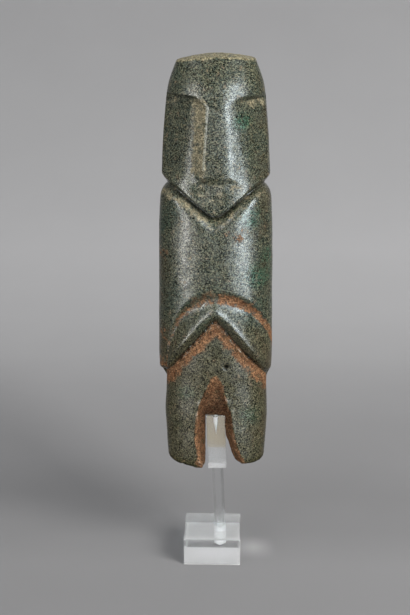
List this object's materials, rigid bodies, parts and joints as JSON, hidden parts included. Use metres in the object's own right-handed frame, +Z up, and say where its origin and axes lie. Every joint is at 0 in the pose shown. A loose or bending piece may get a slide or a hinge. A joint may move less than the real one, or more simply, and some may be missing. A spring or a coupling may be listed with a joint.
{
  "type": "anthropomorphic stone idol on a clear acrylic stand",
  "caption": "Celt-shaped standing stone figure with carved face, folded arms and notched legs, resting on a clear acrylic cradle, rod and square base.",
  "frame": {"origin": "centre of the square base's underside, on the surface that the object stands on", "axes": "+Z up along the figure, -Y the way that the figure faces, +X to the right as seen from in front"},
  "size_m": [0.0786, 0.043, 0.3651],
  "materials": {
    "greenstone": "polished, speckled dark green, with orange-brown deposits in the cuts",
    "clear_acrylic": "clear, polished"
  },
  "bodies": {
    "root": {"idol": "greenstone", "stand_base": "clear_acrylic", "stand_rod": "clear_acrylic", "stand_cradle": "clear_acrylic"}
  },
  "joints": []
}
